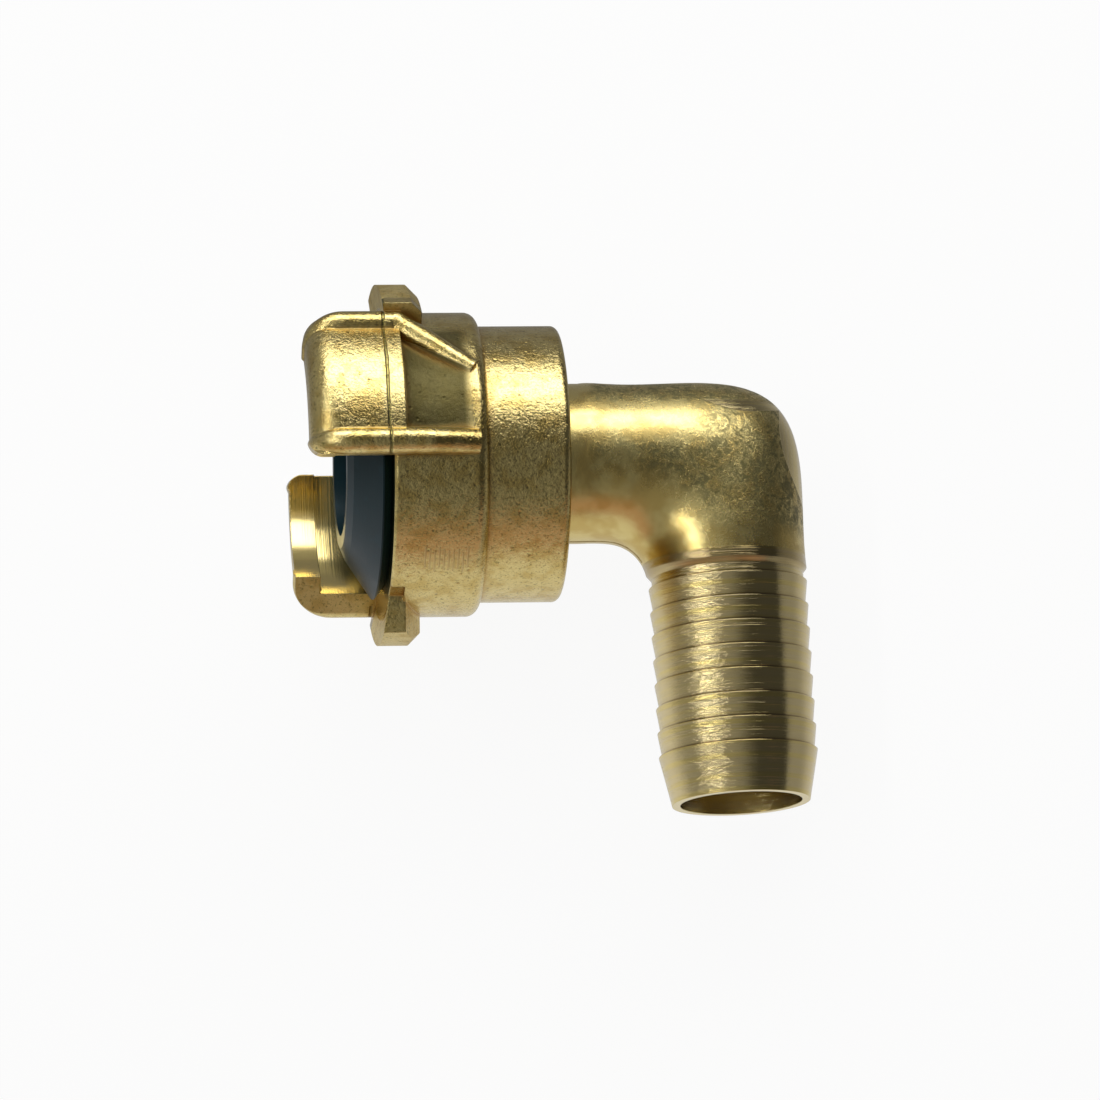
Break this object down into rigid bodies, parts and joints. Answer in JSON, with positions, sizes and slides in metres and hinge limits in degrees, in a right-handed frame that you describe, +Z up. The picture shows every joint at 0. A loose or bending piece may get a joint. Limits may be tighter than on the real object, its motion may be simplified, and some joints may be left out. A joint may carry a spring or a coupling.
{
  "type": "claw hose coupling",
  "caption": "Quarter turn claw coupling half on a swivelling 90 degree elbow with a barbed hose tail and a rubber face seal.",
  "frame": {"origin": "centre of the footprint's box, on the table that the coupling lies on", "axes": "+Z up from the table; +Y away from the hose end, level; +X towards the elbow, under the swivel axis, which slopes down towards the elbow by 17.5 degrees"},
  "size_m": [0.0886, 0.0876, 0.0603],
  "materials": {
    "head_brass": "blasted forging, lightly glossy",
    "elbow_brass": "raw forging, hose tail turned bright",
    "seal_rubber": "satin",
    "o_ring_rubber": "matte",
    "washer_plastic": "matte",
    "ring_steel": "spring steel"
  },
  "bodies": {
    "elbow": {"elbow_hose_tail": "elbow_brass", "stem_o_ring": "o_ring_rubber", "slide_washer": "washer_plastic", "retaining_ring": "ring_steel"},
    "head": {"claw_head": "head_brass", "face_seal": "seal_rubber"}
  },
  "joints": [
    {"name": "head_swivel", "type": "hinge", "parent": "elbow", "child": "head", "pos_m": [-0.00501, 0.01394, 0.02457], "axis": [0.9535, 0, -0.3014], "continuous": true}
  ]
}
